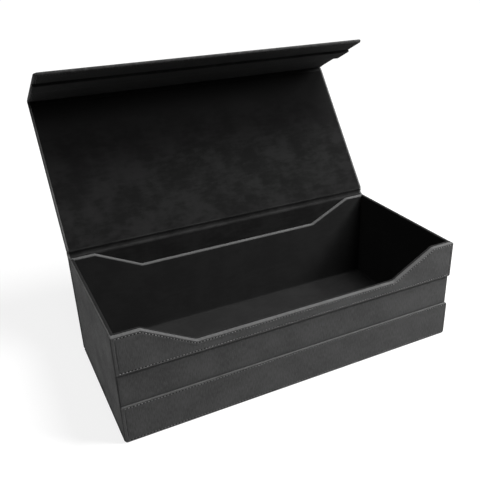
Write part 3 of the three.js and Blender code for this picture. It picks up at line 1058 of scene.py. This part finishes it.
def pattern_group(name, scales, pattern):
    """A shader group, made once. pattern(w, given) returns its outputs by name."""
    if name in bpy.data.node_groups:
        return bpy.data.node_groups[name]
    tree = bpy.data.node_groups.new(name, "ShaderNodeTree")
    tree.interface.new_socket("Vector", in_out="INPUT", socket_type="NodeSocketVector")
    for label, value in scales.items():
        tree.interface.new_socket(label, in_out="INPUT",
                                  socket_type="NodeSocketFloat").default_value = value
    w = Wires(tree)
    results = pattern(w, w.add("NodeGroupInput").outputs)
    for label in results:
        tree.interface.new_socket(label, in_out="OUTPUT", socket_type="NodeSocketFloat")
    w.add("NodeGroupOutput", results)
    return tree

def brushed_grain():
    """Fine strokes across the leather, a pebbled grain and slow blotches."""
    def pattern(w, given):
        vector = given["Vector"]
        strokes = w.noise(w.stretch(vector, (1.0, 0.16, 1.0)), given["Strokes"], 4.0, 0.62)
        flecks = w.noise(w.stretch(vector, (1.0, 0.3, 1.0)), given["Strokes"], 1.0)
        blotches = w.noise(vector, given["Blotches"], 3.0, 0.6)
        pebbles = w.add("ShaderNodeTexVoronoi", {
            "Vector": vector, "Scale": given["Pebbles"], "Smoothness": 0.6},
            feature="SMOOTH_F1")
        return {"Tone": w.remap(w.share(strokes, 0.62, blotches, 0.38), 0.34, 0.66),
                "Fleck": w.remap(flecks, 0.66, 0.78),
                "Height": w.share(pebbles, 0.6, strokes, 0.7)}
    return pattern_group(
        "Brushed grain", {"Strokes": 1300.0, "Pebbles": 1900.0, "Blotches": 30.0}, pattern)

def edge_rub():
    """Where a turned edge takes another tone, wear with painted light, broken up by a fine
    noise.
    """
    def pattern(w, given):
        edge = w.add("ShaderNodeAttribute", attribute_name="edge")
        away = w.math("SUBTRACT", 1.0, edge.outputs["Fac"], clamp=True)
        broken = w.noise(given["Vector"], given["Scale"], 3.0, 0.6)
        return {"Mask": w.math("MULTIPLY", away, w.remap(broken, 0.3, 0.62, 0.35, 1.0))}
    return pattern_group("Edge rub", {"Scale": 260.0}, pattern)

def suede_nap():
    """The brushed nap of suede: strokes, hand marks and fine fibres."""
    def pattern(w, given):
        vector = given["Vector"]
        marks = w.noise(vector, given["Marks"], 5.0, 0.66)
        strokes = w.noise(w.stretch(vector, (0.35, 1.0, 1.0)),
                          w.math("MULTIPLY", given["Marks"], 9.0), 3.0, 0.6)
        return {"Tone": w.remap(w.share(marks, 0.7, strokes, 0.3), 0.41, 0.6),
                "Fibre": w.noise(vector, given["Fibres"], 2.0, 0.6)}
    return pattern_group("Nap", {"Fibres": 2600.0, "Marks": 26.0}, pattern)

def board_fibres():
    """The flecks and fibres of pressed board."""
    def pattern(w, given):
        vector = given["Vector"]
        speck = w.add("ShaderNodeTexVoronoi", {
            "Vector": w.stretch(vector, (1.0, 0.4, 1.0)), "Scale": given["Scale"]})
        pulp = w.noise(vector, given["Scale"], 4.0, 0.7)
        return {"Tone": w.remap(pulp, 0.3, 0.7), "Fleck": w.remap(speck, 0.28, 0.12)}
    return pattern_group("Board fibres", {"Scale": 900.0}, pattern)

# Finishes

WHITE = (1, 1, 1, 1)

def shade(color, factor):
    return (color[0] * factor, color[1] * factor, color[2] * factor, 1.0)

def new_finish(name, paint, glow=None):
    """A material, made once. paint(w) returns the main shader's inputs.

    glow(w, shader) returns what lies over the main shader, if anything does."""
    material = bpy.data.materials.get(name)
    if material is None:
        material = bpy.data.materials.new(name)
        material.use_nodes = True
        material.node_tree.nodes.clear()
        w = Wires(material.node_tree)
        shader = w.add("ShaderNodeBsdfPrincipled", paint(w))
        w.add("ShaderNodeOutputMaterial", {"Surface": glow(w, shader) if glow else shader})
    return material

def leather_finish(finishes, name="charcoal leather", rub_share=None, rubbed=2.1):
    """Leather whose turned edges take another tone: rubbed wear with a painted highlight where
    they are lighter, painted shade where they are darker.
    """
    base = finishes.leather_color
    share = finishes.edge_rub if rub_share is None else rub_share

    def paint(w):
        vector = w.surface()
        grain = w.group(brushed_grain(), vector)
        wear_light_mask = w.group(edge_rub(), vector)
        tone = w.mix(grain["Tone"], shade(base, 0.78), shade(base, 1.22))
        tone = w.cover(grain["Fleck"], 0.5, tone, shade(base, 1.9))
        # Turned edges: rubbed wear with a painted highlight when lighter, painted shade when
        # darker.
        return {"Base Color": w.cover(wear_light_mask["Mask"], share, tone, shade(base, rubbed)),
                "Roughness": w.remap(grain["Tone"], 0.0, 1.0, 0.66, 0.54),
                "Specular IOR Level": 0.05,
                "Normal": w.bump(grain["Height"], 0.45, 0.00025)}
    return new_finish(name, paint)

def flap_painted_edge_shade_finish(finishes):
    """The flap's turned edges are painted darker: painted shade along its edges."""
    return leather_finish(finishes, "flap leather", rub_share=0.95, rubbed=0.36)

def suede_finish(finishes, name="black suede", base=None, marks=1.0, pressed=None):
    """Suede with hand marks. The optional span adds painted shade along the second surface
    coordinate, fullest at its first value and gone at its second.
    """
    base = base or finishes.suede_color

    def paint(w):
        vector = w.surface()
        nap = w.group(suede_nap(), vector)
        light, loose = nap["Tone"], w.math("MULTIPLY", nap["Fibre"], 0.35)
        # Painted shade: across the span the nap's tone and loose fibres fade to the darkest
        # tone.
        if pressed:
            along = w.add("ShaderNodeSeparateXYZ", {0: vector}).outputs["Y"]
            unshaded_share = w.remap(along, *pressed)
            light = w.math("MULTIPLY", light, unshaded_share)
            loose = w.math("MULTIPLY", loose, unshaded_share)
        tone = w.mix(light, shade(base, 1 - 0.42 * marks), shade(base, 1 + 0.42 * marks))
        return {"Base Color": w.mix(loose, tone, shade(base, 1.7)),
                "Roughness": w.remap(nap["Fibre"], 0.2, 0.8, 0.88, 1.0),
                "Specular IOR Level": 0.1, "Sheen Weight": 0.05, "Sheen Roughness": 0.4,
                "Normal": w.bump(nap["Fibre"], 0.3, 0.0003)}
    return new_finish(name, paint)

def tray_suede_finish(finishes):
    return suede_finish(finishes, "tray suede", finishes.tray_color, marks=0.4)

def lid_suede_painted_shadow_finish(finishes):
    """The lid's suede darkens towards the flap: painted shade standing in for the flap's shadow.
    """
    return suede_finish(finishes, "lid suede", marks=1.25, pressed=(0.152, 0.05))

def fold_suede_painted_light_finish(finishes):
    # Painted highlight: the folds get a lighter copy of the cover suede.
    return suede_finish(finishes, "fold suede", shade(finishes.suede_color, 1.7))

def board_finish(finishes):
    base = finishes.board_color

    def paint(w):
        fibres = w.group(board_fibres(), w.object_place())
        tone = w.mix(fibres["Tone"], shade(base, 0.82), shade(base, 1.15))
        return {"Base Color": w.cover(fibres["Fleck"], 0.5, tone, shade(base, 0.45)),
                "Roughness": 0.9, "Normal": w.bump(fibres["Tone"], 0.3, 0.0001)}
    return new_finish("grey board", paint)

def nickel_finish(finishes):
    base = finishes.nickel_color

    def paint(w):
        scuffs = w.noise(w.stretch(w.object_place(), (1.0, 1.0, 12.0)), 700.0, 4.0, 0.6)
        return {"Base Color": w.mix(w.remap(scuffs, 0.35, 0.65), shade(base, 0.85),
                                    shade(base, 1.1)),
                "Metallic": 1.0, "Roughness": w.remap(scuffs, 0.3, 0.7, 0.22, 0.42),
                "Normal": w.bump(scuffs, 0.15, 0.00005)}
    return new_finish("nickel plate", paint)

def thread_finish(finishes):
    base = finishes.thread_color

    def paint(w):
        vector = w.object_place()
        twist = w.add("ShaderNodeTexWave", {
            "Vector": vector, "Scale": 900.0, "Distortion": 1.5}, wave_type="BANDS",
            bands_direction="DIAGONAL").outputs["Fac"]
        soiled = w.remap(w.noise(vector, 120.0), 0.4, 0.62)
        tone = w.mix(twist, shade(base, 0.7), shade(base, 1.2))
        return {"Base Color": w.mix(soiled, tone, shade(base, 0.55)), "Roughness": 0.6,
                "Normal": w.bump(twist, 0.4, 0.0001)}
    return new_finish("waxed thread", paint)

def needle_hole_shade_finish(finishes):
    base = finishes.leather_color

    def paint(w):
        # Painted shade: near-black marks that stand in for the shade inside the needle holes.
        depth = w.noise(w.object_place(), 1500.0)
        return {"Base Color": w.mix(depth, shade(base, 0.02), shade(base, 0.1)),
                "Roughness": 0.95, "Specular IOR Level": 0.05}
    return new_finish("needle hole", paint)

def finish_frame_nodes(finishes):
    """Boards, cards and magnets keep their CAD shapes and get their finishes."""
    board, nickel = board_finish(finishes), nickel_finish(finishes)
    shown = {name: node for name, node in frame["nodes"].items() if not node.hide_render}
    if not shown:
        raise RuntimeError("no board or magnet is shown")
    for name, node in shown.items():
        if not ("magnet" in name or name.endswith(("_board", "_card"))):
            raise RuntimeError(f"{name} has no finish of its own")
        node.data.materials.clear()
        node.data.materials.append(nickel if "magnet" in name else board)

# Stage

CAMERA_PLACE_M = (-0.2399353, -0.4875110, 0.3727387)
CAMERA_TURN_DEGREES = (64.1087225, 1.3429310, -27.0125717)
CAMERA_LENS = 46.857
CAMERA_SHIFT = (-0.05001, 0.01228)
LAMP_TARGET_M = (0, 0.02, 0.1)
LAMPS = (  # name, place and width in metres, power in watts
    ("key", (0.42, -0.17, 1.15), 0.5, 15.0),
    ("fill", (0.62, -0.52, 0.72), 0.3, 10.6),
    ("top", (-0.24, 0.06, 1.15), 0.4, 2.2),
)
FLOOR_HALF_M = 9.0
FLOOR_DROP_M = 0.0003
FLOOR_GLOW = 0.82
FLOOR_FADE_M = (0.35, 0.95)
SKY = (0.0, 0.145)  # its strength at the horizon and overhead

def floor_finish(finishes):
    """A pale floor that is white to the camera and keeps the box's shadow."""
    def paint(w):
        return {"Base Color": shade(finishes.floor_color, 1.0), "Roughness": 1.0,
                "Specular IOR Level": 0.0}

    def glow(w, shader):
        path = w.add("ShaderNodeLightPath").outputs
        seen = w.math("MAXIMUM", path["Is Camera Ray"], path["Is Glossy Ray"])
        seen = w.math("MAXIMUM", seen, path["Is Transmission Ray"])
        away = w.add("ShaderNodeVectorMath", {0: w.object_place()}, operation="LENGTH")
        lit = w.remap(away, *FLOOR_FADE_M, FLOOR_GLOW, 1.0)
        light = w.add("ShaderNodeEmission", {
            "Color": WHITE, "Strength": w.math("MULTIPLY", seen, lit)})
        return w.add("ShaderNodeAddShader", {0: shader, 1: light})
    return new_finish("studio floor", paint, glow)

def build_floor(finishes):
    mesh = bpy.data.meshes.new("floor")
    half = FLOOR_HALF_M
    mesh.from_pydata([(-half, -half, 0), (half, -half, 0), (half, half, 0),
                      (-half, half, 0)], [], [(0, 1, 2, 3)])
    mesh.materials.append(floor_finish(finishes))
    floor = new_object("floor", mesh)
    floor.location.z = -FLOOR_DROP_M

def build_world():
    """Soft light from above on the box, and white behind it."""
    world = bpy.data.worlds.new("studio")
    bpy.context.scene.world = world
    world.use_nodes = True
    world.node_tree.nodes.clear()
    w = Wires(world.node_tree)
    way = w.add("ShaderNodeSeparateXYZ", {
        0: w.add("ShaderNodeTexCoord").outputs["Generated"]})
    light = w.add("ShaderNodeBackground", {
        "Color": WHITE, "Strength": w.remap(way.outputs["Z"], 0.0, 1.0, *SKY)})
    white = w.add("ShaderNodeBackground", {"Color": WHITE, "Strength": 1.0})
    path = w.add("ShaderNodeLightPath")
    w.add("ShaderNodeOutputWorld", {"Surface": w.add("ShaderNodeMixShader", {
        0: path.outputs["Is Camera Ray"], 1: light, 2: white})})

def build_stage(finishes):
    """The floor, the world, the lamps and the camera."""
    build_floor(finishes)
    build_world()
    for name, place, size, power in LAMPS:
        lamp = bpy.data.lights.new(name, "AREA")
        lamp.shape = "DISK"
        lamp.size = size
        lamp.energy = power
        lamp_object = new_object(name, lamp)
        lamp_object.location = place
        lamp_object.rotation_euler = (Vector(LAMP_TARGET_M) - Vector(place)).to_track_quat(
            "-Z", "Y").to_euler()
    camera = bpy.data.cameras.new("camera")
    camera.lens = CAMERA_LENS
    camera.sensor_width = 36.0
    camera.shift_x, camera.shift_y = CAMERA_SHIFT
    camera.clip_start = 0.01
    camera_object = new_object("camera", camera)
    camera_object.location = CAMERA_PLACE_M
    camera_object.rotation_euler = Euler(
        [math.radians(angle) for angle in CAMERA_TURN_DEGREES], "XYZ")
    bpy.context.scene.camera = camera_object
    bpy.context.scene.view_settings.view_transform = "Standard"

# Add-on

def length_property(name, description, metres):
    return bpy.props.FloatProperty(name=name, description=description, default=metres,
                                   unit="LENGTH", precision=5)

def color_property(name, description, color):
    return bpy.props.FloatVectorProperty(name=name, description=description, size=3,
                                         default=color, subtype="COLOR", min=0.0, max=1.0)

class CardBoxSizes(bpy.types.PropertyGroup):
    edge_round: length_property(
        "Edge round", "Radius of the turned leather edges", 0.0013)
    band_round: length_property(
        "Band round", "Radius of the front bands' edges", 0.0008)
    unevenness: length_property(
        "Unevenness", "How far the glued sheets depart from flat", 0.00025)
    seam_inset: length_property(
        "Seam inset", "Distance of the bands' seams from their edges", 0.002)
    seam_depth: length_property(
        "Seam depth", "How deep the thread pulls the leather in", 0.00025)
    stitch_pitch: length_property(
        "Stitch pitch", "Distance from one stitch to the next", 0.0028)
    stitch_length: length_property(
        "Stitch length", "Visible length of one stitch", 0.0018)
    stitch_width: length_property(
        "Stitch width", "Thickness of the thread", 0.0006)
    flap_corner: length_property(
        "Flap corner", "Radius of the flap's free corners", 0.005)

class CardBoxFinishes(bpy.types.PropertyGroup):
    leather_color: color_property(
        "Leather", "Colour of the synthetic leather", (0.071, 0.071, 0.071))
    suede_color: color_property(
        "Suede", "Colour of the cover's suede lining", (0.0064, 0.0064, 0.0064))
    tray_color: color_property(
        "Tray suede", "Colour of the suede inside the tray", (0.0105, 0.0105, 0.0105))
    thread_color: color_property(
        "Thread", "Colour of the stitches", (0.29, 0.29, 0.29))
    board_color: color_property(
        "Board", "Colour of the grey board", (0.28, 0.26, 0.22))
    nickel_color: color_property(
        "Nickel", "Colour of the magnets' plating", (0.55, 0.55, 0.57))
    floor_color: color_property(
        "Floor", "Colour of the studio floor", (0.24, 0.24, 0.24))
    # The share of the edges' other tone: rubbed wear with a painted highlight.
    edge_rub: bpy.props.FloatProperty(
        name="Edge rub", description="How far rubbed edges are lighter", default=0.19,
        min=0.0, max=1.0, subtype="FACTOR")

def settings(context):
    return context.scene.cardbox_sizes, context.scene.cardbox_finishes

class CARDBOX_OT_tray(bpy.types.Operator):
    """Build the leather round the tray and over its rims"""
    bl_idname = "cardbox.tray"
    bl_label = "Tray Skin"
    bl_options = {"REGISTER", "UNDO"}

    def execute(self, context):
        sizes, finishes = settings(context)
        build_tray_skin(sizes, leather_finish(finishes))
        return {"FINISHED"}

class CARDBOX_OT_bands(bpy.types.Operator):
    """Build the upper band with the front rim, and the lower lip"""
    bl_idname = "cardbox.bands"
    bl_label = "Front Bands"
    bl_options = {"REGISTER", "UNDO"}

    def execute(self, context):
        sizes, finishes = settings(context)
        build_bands(sizes, leather_finish(finishes))
        return {"FINISHED"}

class CARDBOX_OT_tray_liner(bpy.types.Operator):
    """Build the suede inside the tray"""
    bl_idname = "cardbox.tray_liner"
    bl_label = "Tray Liner"
    bl_options = {"REGISTER", "UNDO"}

    def execute(self, context):
        finish = tray_suede_finish(settings(context)[1])
        build_tray_liner(finish)
        build_rim_suede(finish)
        return {"FINISHED"}

class CARDBOX_OT_cover(bpy.types.Operator):
    """Build the leather of the cover's base, back, lid and flap"""
    bl_idname = "cardbox.cover"
    bl_label = "Cover Skins"
    bl_options = {"REGISTER", "UNDO"}

    def execute(self, context):
        sizes, finishes = settings(context)
        finish = leather_finish(finishes)
        build_base_skin(finish)
        build_back_skin(sizes, finish)
        build_lid_skin(sizes, finish)
        build_flap_skin(sizes, flap_painted_edge_shade_finish(finishes))
        return {"FINISHED"}

class CARDBOX_OT_cover_liners(bpy.types.Operator):
    """Build the suede inside the cover's back, lid and flap, with the magnet pad"""
    bl_idname = "cardbox.cover_liners"
    bl_label = "Cover Liners"
    bl_options = {"REGISTER", "UNDO"}

    def execute(self, context):
        sizes, finishes = settings(context)
        finish = suede_finish(finishes)
        build_back_liner(finish)
        build_lid_liner(sizes, lid_suede_painted_shadow_finish(finishes))
        build_flap_liner(sizes, finish)
        return {"FINISHED"}

class CARDBOX_OT_folds(bpy.types.Operator):
    """Build the soft folds that join the back, the lid and the flap"""
    bl_idname = "cardbox.folds"
    bl_label = "Folds"
    bl_options = {"REGISTER", "UNDO"}

    def execute(self, context):
        sizes, finishes = settings(context)
        build_folds(sizes, leather_finish(finishes), fold_suede_painted_light_finish(finishes))
        return {"FINISHED"}

class CARDBOX_OT_stitches(bpy.types.Operator):
    """Build the rows of stitches on the bands and the flap"""
    bl_idname = "cardbox.stitches"
    bl_label = "Stitches"
    bl_options = {"REGISTER", "UNDO"}

    def execute(self, context):
        sizes, finishes = settings(context)
        build_stitches(sizes, thread_finish(finishes), needle_hole_shade_finish(finishes))
        return {"FINISHED"}

class CARDBOX_OT_boards(bpy.types.Operator):
    """Give the boards, cards and magnets their finishes"""
    bl_idname = "cardbox.boards"
    bl_label = "Boards and Magnets"
    bl_options = {"REGISTER", "UNDO"}

    def execute(self, context):
        finish_frame_nodes(settings(context)[1])
        return {"FINISHED"}

class CARDBOX_OT_stage(bpy.types.Operator):
    """Set up the floor, the lamps and the camera"""
    bl_idname = "cardbox.stage"
    bl_label = "Stage"
    bl_options = {"REGISTER", "UNDO"}

    def execute(self, context):
        build_stage(settings(context)[1])
        return {"FINISHED"}

OPERATORS = (
    CARDBOX_OT_tray, CARDBOX_OT_bands, CARDBOX_OT_tray_liner, CARDBOX_OT_cover,
    CARDBOX_OT_cover_liners, CARDBOX_OT_folds, CARDBOX_OT_stitches, CARDBOX_OT_boards,
    CARDBOX_OT_stage,
)

class CARDBOX_PT_panel(bpy.types.Panel):
    bl_idname = "CARDBOX_PT_panel"
    bl_label = "Card Storage Box"
    bl_space_type = "VIEW_3D"
    bl_region_type = "UI"
    bl_category = "Card Box"

    def draw(self, context):
        for group in settings(context):
            column = self.layout.column(align=True)
            for label in group.__annotations__:
                column.prop(group, label)
        column = self.layout.column(align=True)
        for operator in OPERATORS:
            column.operator(operator.bl_idname)

CLASSES = (CardBoxSizes, CardBoxFinishes, *OPERATORS, CARDBOX_PT_panel)

def register():
    for item in CLASSES:
        bpy.utils.register_class(item)
    bpy.types.Scene.cardbox_sizes = bpy.props.PointerProperty(type=CardBoxSizes)
    bpy.types.Scene.cardbox_finishes = bpy.props.PointerProperty(type=CardBoxFinishes)

def unregister():
    del bpy.types.Scene.cardbox_finishes
    del bpy.types.Scene.cardbox_sizes
    for item in reversed(CLASSES):
        bpy.utils.unregister_class(item)

def main():
    register()
    bpy.ops.cardbox.tray()
    bpy.ops.cardbox.bands()
    bpy.ops.cardbox.tray_liner()
    bpy.ops.cardbox.cover()
    bpy.ops.cardbox.cover_liners()
    bpy.ops.cardbox.folds()
    bpy.ops.cardbox.stitches()
    bpy.ops.cardbox.boards()
    bpy.ops.cardbox.stage()
    bpy.context.view_layer.update()

if __name__ == "__main__":
    main()
